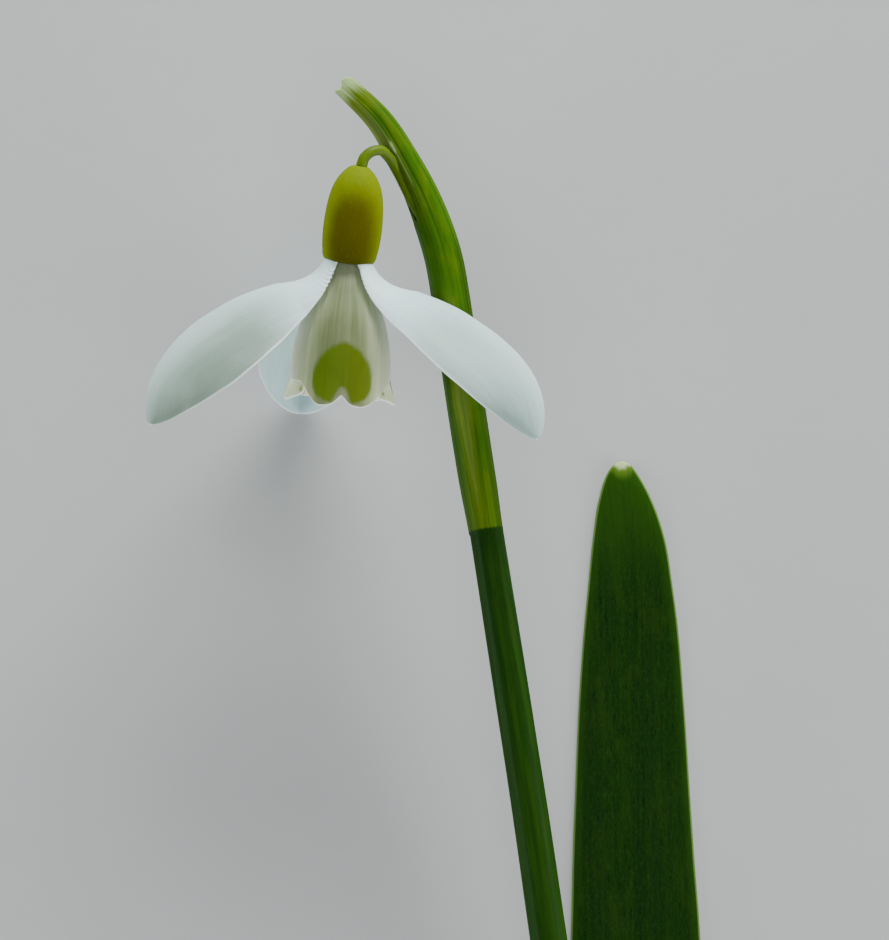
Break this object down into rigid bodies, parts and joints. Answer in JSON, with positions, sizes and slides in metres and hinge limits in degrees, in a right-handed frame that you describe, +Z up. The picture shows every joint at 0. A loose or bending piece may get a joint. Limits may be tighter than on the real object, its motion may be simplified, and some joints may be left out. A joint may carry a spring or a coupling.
{
  "type": "snowdrop flower",
  "caption": "Picked snowdrop lying on its back: nodding white flower with green-marked inner bell, curved green spathe, leafless stem and a strap leaf held by a pale basal sheath.",
  "frame": {"origin": "on the surface it lies on, under the middle of the whole (middle of the box in X and Y, lowest point in Z)", "axes": "+Z up from the surface, +Y along the stem from the cut foot to the flower end, +X to the leaf's side"},
  "size_m": [0.0596, 0.1524, 0.0303],
  "materials": {
    "outer_tepal": "cool white petal, satin, with faint lengthwise veins",
    "inner_tepal": "warm grey-green white petal with a yellow-green mark at the notch",
    "ovary": "satin yellow-green skin, finely grained",
    "stamen": "matte orange-yellow anthers on pale filaments",
    "style": "pale green-white, matte",
    "spathe": "satin green with olive membrane and pale papery margins",
    "pedicel": "satin light green",
    "scape": "satin dark green, faintly ribbed lengthwise",
    "leaf": "dark green, fine lengthwise lines, pale tip and thin light margins",
    "basal_sheath": "pale papery sheath with faint veins"
  },
  "bodies": {
    "root": {"scape": "scape", "spathe": "spathe", "pedicel": "pedicel", "ovary": "ovary", "outer_tepal_left": "outer_tepal", "outer_tepal_right": "outer_tepal", "outer_tepal_back": "outer_tepal", "inner_tepal_front": "inner_tepal", "inner_tepal_right": "inner_tepal", "inner_tepal_left": "inner_tepal", "stamen_1": "stamen", "stamen_2": "stamen", "stamen_3": "stamen", "stamen_4": "stamen", "stamen_5": "stamen", "stamen_6": "stamen", "style": "style", "leaf": "leaf", "basal_sheath": "basal_sheath"}
  },
  "joints": []
}
